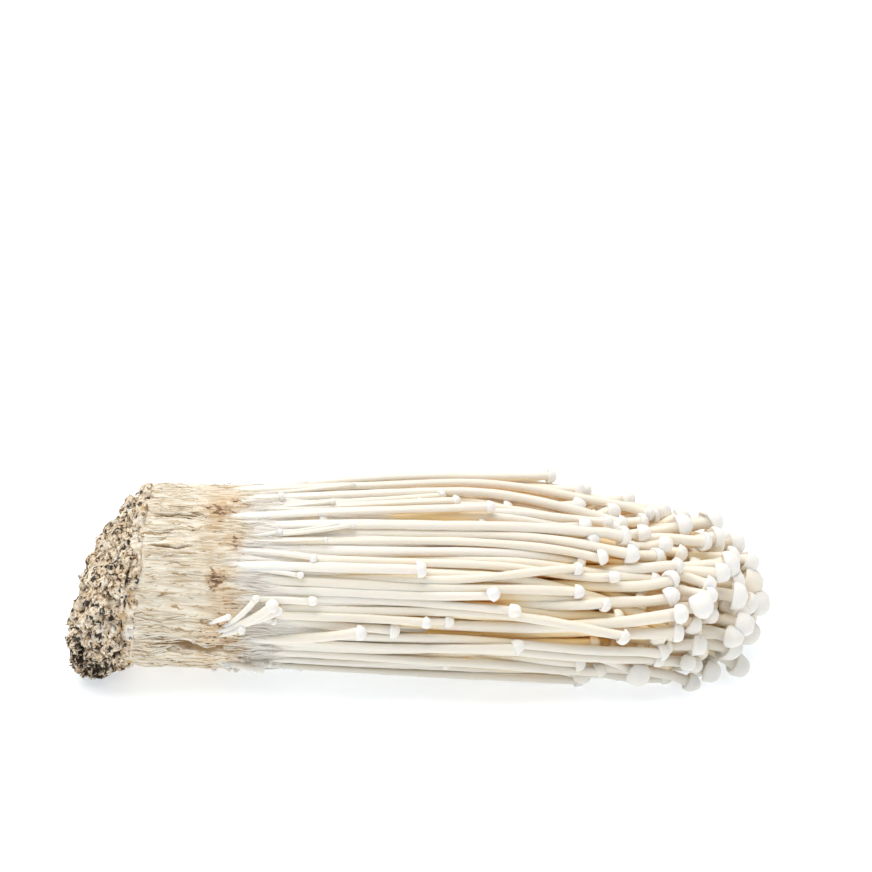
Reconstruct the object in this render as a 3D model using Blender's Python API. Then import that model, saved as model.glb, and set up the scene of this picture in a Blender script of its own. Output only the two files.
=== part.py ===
"""Enoki mushroom bunch, lying on its side as it was picked.

A cluster of slim mushrooms stands on the torn-off end of the sawdust plug that it grew from. Metres, +Z up:
+X runs from the plug to the caps, -Y is the front, and the bunch rests on Z = 0.

Run with: blender --background --python part.py
"""

import math
import random
from types import SimpleNamespace

import bmesh
import bpy
import numpy as np
from mathutils import Vector, noise

# Driving dimensions, in metres. Distances "out" are measured along +X from the plug's face.
PLUG_FACE_X = -0.0645          # where the mushrooms leave the plug
MIDDLE_Y = 0.0006              # where the middle of the bunch's oval lies, so that its box is centred
REACH = 0.1485                 # how far out the longest mushroom may end
BASE_OUT = 0.0270              # the mushrooms are fused into one mat up to here
TOUCH_GAP = 0.0003             # between the plug and the mat, which meet face to face
LEAN = 0.13                    # how far the plug's face leans back, metres of X per metre of height
LEAN_OUT = 0.0600              # the lean has faded out by here

# The bunch's cross-section is an oval: its half width, half height and middle height at each distance out.
OVAL_OUT = np.array((0.0000, 0.0270, 0.0600, 0.0900, 0.1060, 0.1240, 0.1560))
OVAL_HALF_WIDTH = np.array((0.0224, 0.0244, 0.0286, 0.0308, 0.0298, 0.0272, 0.0225))
OVAL_HALF_HEIGHT = np.array((0.0212, 0.0212, 0.0223, 0.0216, 0.0186, 0.0154, 0.0112))
OVAL_MIDDLE = np.array((0.0228, 0.0220, 0.0220, 0.0210, 0.0184, 0.0162, 0.0136))

# The packed stems fill this share of the oval. The stems on the outside lie on them.
CORE_OUT = np.array((0.000, 0.027, 0.036, 0.060, 0.084, 0.098, 0.105))
CORE_SHARE = np.array((1.000, 0.990, 0.955, 0.900, 0.800, 0.680, 0.450))
CORE_SLANT = 0.45              # their far end leans this much, because the mushrooms on top are shorter
CORE_SLANT_OUT = 0.0600        # and begins to lean from here

# The mushrooms.
SEED = 11
MUSHROOMS = 465
GOLDEN_ANGLE = math.pi * (3 - math.sqrt(5))
ANGLE_SCATTER = 0.06
STATION_STEP = 0.0060          # the stems' lines have a point at each of these steps
ROOT_RADIUS = 0.00055
ROOT_SCATTER = (0.8, 1.3)
TIP_RADIUS_LEAST = 0.00062
TIP_RADIUS_GAIN = 0.00079      # a full-length stem's tip is thicker than the least by this
TIP_SCATTER = (0.88, 1.12)
STEM_SWELL = 0.55              # under 1, so a stem thickens soon after its root
CAP_WIDTH = (1.48, 1.82)       # a cap's radius over its stem's
CAP_GAIN = 0.30                # the caps of the longest mushrooms are wider by this share
CAP_GAIN_FROM = 0.82           # of the reach
BIG_CAP_SHARE = 0.06           # so many mushrooms have caps wider still, by BIG_CAP
BIG_CAP = 1.30
CAP_HEIGHT = (1.15, 1.65)      # a cap's height over its radius
CAP_TILT = 0.26

# The share of its full length that an outermost mushroom lacks: all round, on top, and low in front.
SHORTER_ROUND = 0.05
SHORTER_ON_TOP = 0.12
SHORTER_IN_FRONT = 0.13
FRONT_TURN = math.radians(215)
STUNTED_SPREAD = 0.84          # outside this share of the oval, so many are stunted, to so short
STUNTED_CHANCE = 0.17
STUNTED_LENGTH = (0.22, 0.50)
MIDDLING_SPREAD = 0.70         # and outside this one, others up to this chance are middling
MIDDLING_CHANCE = 0.42
MIDDLING_LENGTH = (0.50, 0.82)
UNEVEN_ENDS = 0.22             # the rest end within this share of their length

# How the stems wave, bend and push each other aside.
SWAY = (0.0004, 0.0017)        # each stem's own waves: how far they swing, and how long they are
SWAY_LENGTH = (0.050, 0.110)
CURL_SHARE = 0.34              # so many stems bend sideways over their last part, by CURL
CURL = (0.003, 0.008)
CURL_LENGTH = 0.045
CURL_TURN = (1.3, 2.2)         # they bend this far off the way out of the bunch, to either side, in radians
STIFF_LENGTH = 0.100           # mushrooms shorter than this wave and bend less
FLOW = 0.0036                  # the waves that neighbours share: how far they swing, how long and wide
FLOW_LENGTH = 0.034
FLOW_WIDTH = 0.013
FLOW_SHIFTS = (10.0, 20.0)     # these set the waves across apart from those up and down
ROOTED_OUT = 0.016             # from here to SURFACED_OUT stems rise out of the mat, by ROOT_DEPTH
SURFACED_OUT = 0.040
ROOT_DEPTH = 0.07
ASTRAY_SHARE = 1.02            # no stem strays further from the middle than this share of the oval
LOOSE_LENGTH = 0.050           # the waves reach their full height over this length
SETTLE_ROUNDS = 60
PUSH = 0.7                     # the share of their overlap that two stems are moved by in one round
SMOOTHING = 0.22
RETURN = 0.03                  # the share of the way back to its own place that a stem moves in one round
CAP_REACH = 0.6                # a cap takes up room this many steps before and after it
FLOOR_SHARE = 0.93             # a stem on the floor is pressed flat: its middle is so many radii up

# The plug.
PLUG_THICKNESS = 0.0155
PLUG_TOP_THICKNESS = 0.0026
PLUG_OVERHANG = 1.04           # how far its rim stands past the mat, as a share of the mat's radius
PLUG_ROUNDING = 0.60           # 1 would make it an ellipsoid, and 0 a disc with square edges
PLUG_THICK_MIDDLE = 0.72       # how far it has thickened at its middle height, and how fast it tapers above
PLUG_TAPER = 0.62
PLUG_SINK = 0.0026             # how far the plug's middle lies under the mat's
PLUG_DENT = 0.0016             # how far its face cups round the mat's edge
LUMPS = ((0.0016, 150, 0), (0.0022, 330, 3))   # height, fineness and shift of the lumps all over it

# How much of the bunch is built as solids here.
PLUG_CUTS = 13
CORE_SIDES = 60
MAT_RINGS_OUT = (0.009, 0.018)  # the mat has rings here besides those of CORE_OUT
MAT_RIDGE = 0.0004             # the height of the mat's ridges, and of the core's
CORE_RIDGE = 0.0009
RIDGE_SWAY = 0.03              # how far the ridges wander round the core, in radians
RIDGE_WAVES = 70               # how fast they wander, in radians per metre out, and from one to the next
RIDGE_SHIFT = 0.9
STEM_SIDES = 6
STEM_RING_STEP = 0.0260
OUTER_SPREAD = 0.84            # the mushrooms outside this share of the oval lie on the core
OUTER_EVERY = 3                # one in so many of them is built
OUTER_ROOT_OUT = 0.014
INNER_EVERY = 6                # and one in so many of those that show their caps alone
INNER_LEAST_LENGTH = 0.112
INNER_ROOT_OUT = 0.080
CAP_RINGS = ((0.02, 0.93), (0.45, 1.00), (0.85, 0.62))   # height and radius, as shares of the cap's

CREAM = (0.90, 0.84, 0.70)
BROWN = (0.46, 0.36, 0.25)


# Layout: where every mushroom of the bunch runs, and the plug's shape.


def smooth_through(out, knots, values):
    """Reads a smooth curve that passes through the values at the knots."""
    slopes = np.gradient(values, knots)
    low = np.clip(np.searchsorted(knots, out) - 1, 0, len(knots) - 2)
    span = knots[low + 1] - knots[low]
    t = (out - knots[low]) / span
    return (
        (1 + 2 * t) * (1 - t) ** 2 * values[low]
        + t * (1 - t) ** 2 * span * slopes[low]
        + t**2 * (3 - 2 * t) * values[low + 1]
        + t**2 * (t - 1) * span * slopes[low + 1]
    )


def eased(share):
    """0 up to 0, 1 from 1 on, and smooth in between."""
    share = np.clip(share, 0, 1)
    return share * share * (3 - 2 * share)


def oval(out):
    """The half width, half height and middle height of the bunch, so far out."""
    return tuple(
        smooth_through(np.asarray(out, float), OVAL_OUT, sizes)
        for sizes in (OVAL_HALF_WIDTH, OVAL_HALF_HEIGHT, OVAL_MIDDLE)
    )


def placed(out, y, z):
    """The points of the part's frame that lie so far out, with the lean of the plug's face put in."""
    fade = np.clip(1 - np.maximum(0.0, out) / LEAN_OUT, 0, 1)
    lean = LEAN * (z - OVAL_MIDDLE[0]) * fade * fade
    return np.stack(np.broadcast_arrays(PLUG_FACE_X + out + lean, MIDDLE_Y + y, z), axis=-1)


def length_of(draw, spread, angle):
    """How far out a mushroom ends. The outermost are often stunted, and the longest are in the middle."""
    top, front = max(0.0, math.sin(angle)), max(0.0, math.cos(angle - FRONT_TURN))
    full = REACH * (1 - spread**2 * (SHORTER_ROUND + SHORTER_ON_TOP * top + SHORTER_IN_FRONT * front))
    kind = draw.random()
    if spread > STUNTED_SPREAD and kind < STUNTED_CHANCE:
        return full * draw.uniform(*STUNTED_LENGTH)
    if spread > MIDDLING_SPREAD and kind < MIDDLING_CHANCE:
        return full * draw.uniform(*MIDDLING_LENGTH)
    return full * (1 - UNEVEN_ENDS * draw.random() ** 1.2)


def sown(draw, index):
    """One mushroom before the bunch has settled: its place in the cross-section and its sizes."""
    spread = math.sqrt((index + 0.5) / MUSHROOMS)
    angle = index * GOLDEN_ANGLE + draw.uniform(-1, 1) * ANGLE_SCATTER
    length = length_of(draw, spread, angle)
    share = length / REACH
    tip_radius = (TIP_RADIUS_LEAST + TIP_RADIUS_GAIN * share**1.3) * draw.uniform(*TIP_SCATTER)
    cap_gain = CAP_GAIN * float(eased((share - CAP_GAIN_FROM) / (1 - CAP_GAIN_FROM)))
    cap_radius = tip_radius * draw.uniform(*CAP_WIDTH) * (1 + cap_gain)
    if draw.random() < BIG_CAP_SHARE:
        cap_radius *= BIG_CAP
    return SimpleNamespace(
        spread=spread,
        angle=angle,
        length=length,
        root_radius=ROOT_RADIUS * draw.uniform(*ROOT_SCATTER),
        tip_radius=tip_radius,
        cap_radius=cap_radius,
        cap_height=cap_radius * draw.uniform(*CAP_HEIGHT),
        cap_tilt=Vector([draw.gauss(0, CAP_TILT) for _ in range(3)]),
        sway=[(draw.uniform(*SWAY), draw.uniform(*SWAY_LENGTH), draw.uniform(0, math.tau)) for _ in range(2)],
        curl=draw.uniform(*CURL) if draw.random() < CURL_SHARE else 0.0,
        curl_way=angle + draw.choice((-1, 1)) * draw.uniform(*CURL_TURN),
    )


def stem_radius(mushroom, out):
    """The stem's radius so far out: thin at the root, and thickest under the cap."""
    share = np.clip(out / mushroom.length, 0, 1)
    return mushroom.root_radius + (mushroom.tip_radius - mushroom.root_radius) * share**STEM_SWELL


def flow(out, y, z):
    """The wave that the stems about this point share, as (y, z)."""
    at = Vector((out / FLOW_LENGTH, y / FLOW_WIDTH, z / FLOW_WIDTH))
    return tuple(FLOW * noise.noise(at + Vector((0, 0, shift))) for shift in FLOW_SHIFTS)


def tidy_line(mushroom, stations):
    """The (y, z) of a stem at each station, before the stems push each other aside."""
    half_width, half_height, middle = oval(stations)
    sunk = ROOT_DEPTH * eased((SURFACED_OUT - stations) / (SURFACED_OUT - ROOTED_OUT))
    spread = mushroom.spread * (1 - sunk)
    y = half_width * spread * math.cos(mushroom.angle)
    z = middle + half_height * spread * math.sin(mushroom.angle)
    waves = np.array([flow(*at) for at in zip(stations, y, z)])
    for i, (height, length, start) in enumerate(mushroom.sway):
        waves[:, i] += height * np.sin(math.tau * stations / length + start)
    loose = np.clip((stations - ROOTED_OUT) / LOOSE_LENGTH, 0, 1)
    stiff = min(1.0, mushroom.length / STIFF_LENGTH) ** 2
    bend = mushroom.curl * np.clip((stations - mushroom.length) / CURL_LENGTH + 1, 0, 1.2) ** 2
    y += stiff * (loose * waves[:, 0] + bend * math.cos(mushroom.curl_way))
    z += stiff * (loose * waves[:, 1] + bend * math.sin(mushroom.curl_way))
    astray = np.maximum(1, np.hypot(y / half_width, (z - middle) / half_height) / ASTRAY_SHARE)
    return np.stack([y / astray, middle + (z - middle) / astray], axis=1)


def pushed_apart(points, radii):
    """Moves circles in one cross-section off each other, each by half of what they overlap."""
    away = points[:, None] - points[None]
    distance = np.hypot(away[..., 0], away[..., 1])
    overlap = radii[:, None] + radii[None] - distance
    np.fill_diagonal(overlap, 0)
    share = np.where(overlap > 0, 0.5 * overlap / np.maximum(distance, 1e-6), 0)
    return points + PUSH * (away * share[..., None]).sum(axis=1)


def settled(mushrooms, stations):
    """The (y, z) of every stem at every station, side by side, smooth, and on the floor or above."""
    tidy = np.stack([tidy_line(m, stations) for m in mushrooms])
    lengths = np.array([m.length for m in mushrooms])[:, None]
    present = stations[None] < lengths + STATION_STEP
    radii = np.stack([stem_radius(m, stations) for m in mushrooms])
    caps = np.array([m.cap_radius for m in mushrooms])[:, None]
    radii = np.where(np.abs(stations[None] - lengths) < CAP_REACH * STATION_STEP, caps, radii)
    inner = present[:, 1:-1] & present[:, 2:]
    lines = tidy.copy()
    for _ in range(SETTLE_ROUNDS):
        for k in range(2, len(stations)):
            here = present[:, k]
            lines[here, k] = pushed_apart(lines[here, k], radii[here, k])
        bow = lines[:, :-2] + lines[:, 2:] - 2 * lines[:, 1:-1]
        lines[:, 1:-1] += np.where(inner[..., None], SMOOTHING * bow, 0)
        lines += RETURN * (tidy - lines)
        lines[..., 1] = np.maximum(lines[..., 1], radii * FLOOR_SHARE)
    return lines


def grow():
    """All the mushrooms of the bunch, each with the line that its stem follows."""
    draw = random.Random(SEED)
    mushrooms = [sown(draw, index) for index in range(MUSHROOMS)]
    stations = np.arange(0, REACH + 2 * STATION_STEP, STATION_STEP)
    for mushroom, line in zip(mushrooms, settled(mushrooms, stations)):
        mushroom.stations = stations
        mushroom.line = line
    return mushrooms


def stem_points(mushroom, outs):
    y, z = (smooth_through(np.asarray(outs), mushroom.stations, mushroom.line[:, i]) for i in (0, 1))
    return placed(np.asarray(outs), y, z)


def plug_point(way):
    """Where a direction from the middle of the plug meets its lumpy surface.

    The plug is a thick disc with a rounded rim. It is thin along its top, where it tore away, and thick below.
    """
    half_width, half_height, middle = (float(size) for size in oval(0.0))
    flat = math.hypot(way.y, way.z)
    rounded = flat**PLUG_ROUNDING * PLUG_OVERHANG / max(flat, 1e-9)
    y = half_width * rounded * way.y
    z = middle - PLUG_SINK + half_height * rounded * way.z
    low = float(eased(PLUG_THICK_MIDDLE - PLUG_TAPER * (z - middle) / half_height))
    thickness = PLUG_TOP_THICKNESS + (PLUG_THICKNESS - PLUG_TOP_THICKNESS) * low
    depth = 0.5 - 0.5 * math.copysign(abs(way.x) ** PLUG_ROUNDING, way.x)
    point = Vector(placed(PLUG_DENT - (thickness + PLUG_DENT) * depth, y, z))
    for height, fineness, shift in LUMPS:
        point += way * height * noise.noise(point * fineness + Vector((shift, 0, 0)))
    return point


def against_mat(point):
    """Flattens the plug's points where they would enter the mat or the floor."""
    face_x = float(placed(-TOUCH_GAP, 0, point.z)[0])
    return Vector((min(point.x, face_x), point.y, max(point.z, 0.0)))


# Solids.


def mesh_object(name, points, faces, colour=CREAM):
    mesh = bpy.data.meshes.new(name)
    mesh.from_pydata(points, [], faces)
    material = bpy.data.materials.get(name) or bpy.data.materials.new(name)
    material.use_nodes = True
    shader = material.node_tree.nodes["Principled BSDF"]
    shader.inputs["Base Color"].default_value = (*colour, 1)
    shader.inputs["Roughness"].default_value = 0.7
    mesh.materials.append(material)
    obj = bpy.data.objects.new(name, mesh)
    bpy.context.scene.collection.objects.link(obj)
    return obj


def lofted(rings, last_point=None):
    """A closed skin over rings of as many points each. It ends in a flat face, or in a point at its far end."""
    sides = len(rings[0])
    points = [p for ring in rings for p in ring]
    faces = [tuple(reversed(range(sides)))]
    last = len(points) - sides
    for low in range(0, last, sides):
        for i in range(sides):
            j = (i + 1) % sides
            faces.append((low + i, low + j, low + sides + j, low + sides + i))
    if last_point is None:
        faces.append(tuple(range(last, last + sides)))
    else:
        faces.extend((last + i, last + (i + 1) % sides, len(points)) for i in range(sides))
        points.append(last_point)
    return points, faces


def ring_round(centre, along, radius):
    """Points round a stem, with an edge down, none of them under the floor. Its area is that of the round stem."""
    side = Vector((0, 0, 1)).cross(along).normalized()
    lift = along.cross(side).normalized()
    corner = radius / math.sqrt(math.sin(math.tau / STEM_SIDES) * STEM_SIDES / math.tau)
    ring = []
    for i in range(STEM_SIDES):
        turn = math.tau * (i + 0.5) / STEM_SIDES - math.pi / 2
        point = centre + corner * (math.cos(turn) * side + math.sin(turn) * lift)
        point.z = max(point.z, 0.0)
        ring.append(point)
    return ring


def mushroom_solid(name, mushroom, root_out):
    """A stem and its cap as one skin: a prism that widens at the cap's underside and closes over its top."""
    steps = max(2, round((mushroom.length - root_out) / STEM_RING_STEP))
    outs = np.linspace(root_out, mushroom.length, steps + 1)
    line = [Vector(point) for point in stem_points(mushroom, outs)]
    rings = []
    for i, centre in enumerate(line):
        along = (line[min(i + 1, steps)] - line[max(i - 1, 0)]).normalized()
        rings.append(ring_round(centre, along, float(stem_radius(mushroom, outs[i]))))
    up = (along + mushroom.cap_tilt).normalized()
    for height, width in CAP_RINGS:
        rings.append(ring_round(line[-1] + up * mushroom.cap_height * height, up, mushroom.cap_radius * width))
    crown = line[-1] + up * mushroom.cap_height
    crown.z = max(crown.z, 0.0)
    return mesh_object(name, *lofted(rings, crown))


def core_solid():
    """The mat of fused stem bases, and the core of packed stems that it narrows to.

    Both are ridged lengthwise, as stems that lie side by side are.
    """
    rings = []
    for out, share in zip((*MAT_RINGS_OUT, *CORE_OUT), (1, 1, *CORE_SHARE)):
        half_width, half_height, middle = (float(size) for size in oval(out))
        slant = -CORE_SLANT * max(0.0, out - CORE_SLANT_OUT) / (CORE_OUT[-1] - CORE_SLANT_OUT)
        ridge = MAT_RIDGE if out <= BASE_OUT else CORE_RIDGE
        ring = []
        for i in range(CORE_SIDES):
            turn = math.tau * i / CORE_SIDES + RIDGE_SWAY * math.sin(RIDGE_WAVES * out + RIDGE_SHIFT * i)
            raised = ridge * (-1) ** i
            y = (half_width * share + raised) * math.cos(turn)
            z = middle + (half_height * share + raised) * math.sin(turn)
            point = Vector(placed(out, y, max(z, 0)))
            point.x += slant * (z - middle)
            ring.append(point)
        rings.append((out, ring))
    rings.sort(key=lambda ring: ring[0])
    return mesh_object("mushroom_cluster", *lofted([ring for _, ring in rings]))


def joined(target, parts):
    """Fuses the parts into the target with one Boolean union, and removes them."""
    collection = bpy.data.collections.new("to_join")
    bpy.context.scene.collection.children.link(collection)
    for part in parts:
        bpy.context.scene.collection.objects.unlink(part)
        collection.objects.link(part)
    union = target.modifiers.new("union", "BOOLEAN")
    union.operation = "UNION"
    union.operand_type = "COLLECTION"
    union.collection = collection
    union.solver = "MANIFOLD"
    bpy.context.view_layer.update()
    depsgraph = bpy.context.evaluated_depsgraph_get()
    mesh = bpy.data.meshes.new_from_object(target.evaluated_get(depsgraph))
    target.modifiers.clear()
    target.data = mesh
    for part in parts:
        bpy.data.objects.remove(part)
    bpy.data.collections.remove(collection)
    return target


def keep_outer_skin(obj):
    """Leaves only the largest closed skin, which fills sealed hollows and drops loose scraps."""
    skin = bmesh.new()
    skin.from_mesh(obj.data)
    unseen = set(skin.faces)
    islands = []
    while unseen:
        island = [unseen.pop()]
        for face in island:
            near = {other for edge in face.edges for other in edge.link_faces} & unseen
            unseen -= near
            island.extend(near)
        islands.append(island)
    largest = max(islands, key=len)
    extra = [face for island in islands if island is not largest for face in island]
    bmesh.ops.delete(skin, geom=extra, context="FACES")
    skin.to_mesh(obj.data)
    skin.free()
    return obj


def cluster(mushrooms):
    """The mushrooms that shape the bunch, on their core: those on the outside, and caps across its open end."""
    outer = [m for m in mushrooms if m.spread > OUTER_SPREAD]
    inner = [m for m in mushrooms if m.spread <= OUTER_SPREAD and m.length > INNER_LEAST_LENGTH]
    parts = [mushroom_solid(f"outer_{i}", m, OUTER_ROOT_OUT) for i, m in enumerate(outer[::OUTER_EVERY])]
    parts += [mushroom_solid(f"inner_{i}", m, INNER_ROOT_OUT) for i, m in enumerate(inner[::INNER_EVERY])]
    return keep_outer_skin(joined(core_solid(), parts))


def plug():
    """The torn lump of sawdust that the bunch grew on, lumpy all over but for its face under the mushrooms."""
    lump = bmesh.new()
    bmesh.ops.create_cube(lump, size=2)
    bmesh.ops.subdivide_edges(lump, edges=lump.edges, cuts=PLUG_CUTS, use_grid_fill=True)
    for corner in lump.verts:
        corner.co = against_mat(plug_point(corner.co.normalized()))
    points = [tuple(corner.co) for corner in lump.verts]
    faces = [tuple(corner.index for corner in face.verts) for face in lump.faces]
    lump.free()
    return mesh_object("substrate_plug", points, faces, BROWN)


def main():
    for obj in list(bpy.data.objects):
        bpy.data.objects.remove(obj)
    cluster(grow())
    plug()


main()
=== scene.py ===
"""The looks of an enoki mushroom bunch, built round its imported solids.

Every mushroom of the bunch, the mat of fused stem bases, the stunted strands and pins that cling to it, and the
crumbly plug are modelled here at full detail, on the same layout as the solids. Metres, +Z up: +X runs from the plug
to the caps, and -Y is the front.
"""

import math
import random
from types import SimpleNamespace

import bmesh
import bpy
import numpy as np
from mathutils import Matrix, Vector, noise
from mathutils.kdtree import KDTree


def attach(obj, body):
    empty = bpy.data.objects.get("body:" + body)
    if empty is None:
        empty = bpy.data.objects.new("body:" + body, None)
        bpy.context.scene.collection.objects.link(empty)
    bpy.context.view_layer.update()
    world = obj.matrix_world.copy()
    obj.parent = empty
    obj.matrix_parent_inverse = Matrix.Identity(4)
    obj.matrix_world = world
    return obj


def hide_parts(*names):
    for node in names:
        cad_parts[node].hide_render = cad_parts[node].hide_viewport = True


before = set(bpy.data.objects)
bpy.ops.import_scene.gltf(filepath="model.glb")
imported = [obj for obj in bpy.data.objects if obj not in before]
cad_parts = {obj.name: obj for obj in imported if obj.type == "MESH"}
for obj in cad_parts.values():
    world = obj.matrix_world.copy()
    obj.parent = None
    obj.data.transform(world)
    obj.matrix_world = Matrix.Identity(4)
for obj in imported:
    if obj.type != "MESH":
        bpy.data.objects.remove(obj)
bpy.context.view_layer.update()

bl_info = {
    "name": "Enoki Bunch",
    "version": (1, 0, 0),
    "blender": (4, 5, 0),
    "location": "3D View > Sidebar > Enoki",
    "description": "Grows a bunch of enoki mushrooms on its sawdust plug, with a plain stage",
    "category": "Add Mesh",
}

# Driving dimensions, in metres. Distances "out" are measured along +X from the plug's face.
PLUG_FACE_X = -0.0645          # where the mushrooms leave the plug
MIDDLE_Y = 0.0006              # where the middle of the bunch's oval lies, so that its box is centred
REACH = 0.1485                 # how far out the longest mushroom may end
TOUCH_GAP = 0.0003             # between the plug and the mat, which meet face to face
LEAN = 0.13                    # how far the plug's face leans back, metres of X per metre of height
LEAN_OUT = 0.0600              # the lean has faded out by here

# The bunch's cross-section is an oval: its half width, half height and middle height at each distance out.
OVAL_OUT = np.array((0.0000, 0.0270, 0.0600, 0.0900, 0.1060, 0.1240, 0.1560))
OVAL_HALF_WIDTH = np.array((0.0224, 0.0244, 0.0286, 0.0308, 0.0298, 0.0272, 0.0225))
OVAL_HALF_HEIGHT = np.array((0.0212, 0.0212, 0.0223, 0.0216, 0.0186, 0.0154, 0.0112))
OVAL_MIDDLE = np.array((0.0228, 0.0220, 0.0220, 0.0210, 0.0184, 0.0162, 0.0136))

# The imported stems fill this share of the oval. The stems on the outside lie on them.
CORE_OUT = np.array((0.000, 0.027, 0.036, 0.060, 0.084, 0.098, 0.105))
CORE_SHARE = np.array((1.000, 0.990, 0.955, 0.900, 0.800, 0.680, 0.450))
CORE_SLANT = 0.45              # their far end leans this much, because the mushrooms on top are shorter
CORE_SLANT_OUT = 0.0600        # and begins to lean from here

# The mushrooms.
SEED = 11
MUSHROOMS = 465
GOLDEN_ANGLE = math.pi * (3 - math.sqrt(5))
ANGLE_SCATTER = 0.06
STATION_STEP = 0.0060          # the stems' lines have a point at each of these steps
ROOT_RADIUS = 0.00055
ROOT_SCATTER = (0.8, 1.3)
TIP_RADIUS_LEAST = 0.00062
TIP_RADIUS_GAIN = 0.00079      # a full-length stem's tip is thicker than the least by this
TIP_SCATTER = (0.88, 1.12)
STEM_SWELL = 0.55              # under 1, so a stem thickens soon after its root
CAP_WIDTH = (1.48, 1.82)       # a cap's radius over its stem's
CAP_GAIN = 0.30                # the caps of the longest mushrooms are wider by this share
CAP_GAIN_FROM = 0.82           # of the reach
BIG_CAP_SHARE = 0.06           # so many mushrooms have caps wider still, by BIG_CAP
BIG_CAP = 1.30
CAP_HEIGHT = (1.15, 1.65)      # a cap's height over its radius
CAP_TILT = 0.26

# The share of its full length that an outermost mushroom lacks: all round, on top, and low in front.
SHORTER_ROUND = 0.05
SHORTER_ON_TOP = 0.12
SHORTER_IN_FRONT = 0.13
FRONT_TURN = math.radians(215)
STUNTED_SPREAD = 0.84          # outside this share of the oval, so many are stunted, to so short
STUNTED_CHANCE = 0.17
STUNTED_LENGTH = (0.22, 0.50)
MIDDLING_SPREAD = 0.70         # and outside this one, others up to this chance are middling
MIDDLING_CHANCE = 0.42
MIDDLING_LENGTH = (0.50, 0.82)
UNEVEN_ENDS = 0.22             # the rest end within this share of their length

# How the stems wave, bend and push each other aside.
SWAY = (0.0004, 0.0017)        # each stem's own waves: how far they swing, and how long they are
SWAY_LENGTH = (0.050, 0.110)
CURL_SHARE = 0.34              # so many stems bend sideways over their last part, by CURL
CURL = (0.003, 0.008)
CURL_LENGTH = 0.045
CURL_TURN = (1.3, 2.2)         # they bend this far off the way out of the bunch, to either side, in radians
STIFF_LENGTH = 0.100           # mushrooms shorter than this wave and bend less
FLOW = 0.0036                  # the waves that neighbours share: how far they swing, how long and wide
FLOW_LENGTH = 0.034
FLOW_WIDTH = 0.013
FLOW_SHIFTS = (10.0, 20.0)     # these set the waves across apart from those up and down
ROOTED_OUT = 0.016             # from here to SURFACED_OUT stems rise out of the mat, by ROOT_DEPTH
SURFACED_OUT = 0.040
ROOT_DEPTH = 0.07
ASTRAY_SHARE = 1.02            # no stem strays further from the middle than this share of the oval
LOOSE_LENGTH = 0.050           # the waves reach their full height over this length
SETTLE_ROUNDS = 60
PUSH = 0.7                     # the share of their overlap that two stems are moved by in one round
SMOOTHING = 0.22
RETURN = 0.03                  # the share of the way back to its own place that a stem moves in one round
CAP_REACH = 0.6                # a cap takes up room this many steps before and after it
FLOOR_SHARE = 0.93             # a stem on the floor is pressed flat: its middle is so many radii up

# The plug.
PLUG_THICKNESS = 0.0155
PLUG_TOP_THICKNESS = 0.0026
PLUG_OVERHANG = 1.04           # how far its rim stands past the mat, as a share of the mat's radius
PLUG_ROUNDING = 0.60           # 1 would make it an ellipsoid, and 0 a disc with square edges
PLUG_THICK_MIDDLE = 0.72       # how far it has thickened at its middle height, and how fast it tapers above
PLUG_TAPER = 0.62
PLUG_SINK = 0.0026             # how far the plug's middle lies under the mat's
PLUG_DENT = 0.0016             # how far its face cups round the mat's edge
LUMPS = ((0.0016, 150, 0), (0.0022, 330, 3))   # height, fineness and shift of the lumps all over it

MIDDLE_HEIGHT = 0.0222         # of the bunch, which the camera's aim is measured from

# The fine detail of the looks.
OUTER_SPREAD = 0.80            # the mushrooms outside this share of the oval show from where they leave the mat
OUTER_ROOT_OUT = 0.014
MIDDLE_SPREAD = 0.62           # those inside this one show their ends alone
MIDDLE_ROOT_OUT = 0.052
INNER_ROOT_OUT = 0.076
CAP_PROFILE = (                # up a cap, from where its underside meets the stem: radius and height, as shares
    (0.66, 0.10),
    (0.84, 0.02),
    (0.95, 0.02),
    (1.00, 0.12),
    (1.00, 0.27),
    (0.96, 0.44),
    (0.88, 0.60),
    (0.75, 0.75),
    (0.58, 0.87),
    (0.38, 0.95),
    (0.18, 0.99),
)
# How far stems cover one another sets the painted shade in the gaps between them.
COVER_REACH = 0.0060           # stems nearer than this cover one another
COVER_CONE = 0.35              # if they lie outwards of it by more than this share of the way
COVER_FULL = 3.5               # the sum of their shares that covers a stem fully
RIM = 0.022                    # about the mat's radius, which the noise round it and turns along it are measured on
STRANDS_ROUND = 105            # the strands that the mat combs out into
TORN_OUT = 0.0225              # the mat comes apart into strands about here, over TEAR_LENGTH
TEAR_LENGTH = 0.0055
OFF_FLOOR = 0.0001             # the least height of what hangs low
CLEFTS = (                     # turn round the mat in degrees, from and to so far out, half width, depth
    (115, 0.002, 0.017, 0.00050, 0.0016),
    (138, 0.001, 0.015, 0.00022, 0.0008),
    (206, 0.005, 0.029, 0.00130, 0.0034),
    (196, 0.002, 0.013, 0.00030, 0.0012),
    (233, 0.001, 0.020, 0.00040, 0.0016),
    (265, 0.004, 0.022, 0.00040, 0.0014),
    (310, 0.002, 0.024, 0.00070, 0.0020),
    (345, 0.001, 0.012, 0.00030, 0.0010),
    (20, 0.006, 0.024, 0.00050, 0.0014),
    (52, 0.002, 0.018, 0.00060, 0.0018),
    (80, 0.003, 0.014, 0.00030, 0.0010),
)
STAINS = (                     # turn round the mat in degrees, so far out, radius, darkness
    (108, 0.0180, 0.0036, 1.00),
    (100, 0.0225, 0.0020, 0.80),
    (136, 0.0230, 0.0034, 0.55),
    (157, 0.0190, 0.0026, 0.95),
    (193, 0.0200, 0.0050, 0.65),
    (214, 0.0250, 0.0040, 0.45),
    (60, 0.0190, 0.0040, 0.80),
    (15, 0.0220, 0.0040, 0.70),
    (320, 0.0200, 0.0045, 0.60),
    (275, 0.0230, 0.0030, 0.50),
)
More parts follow.
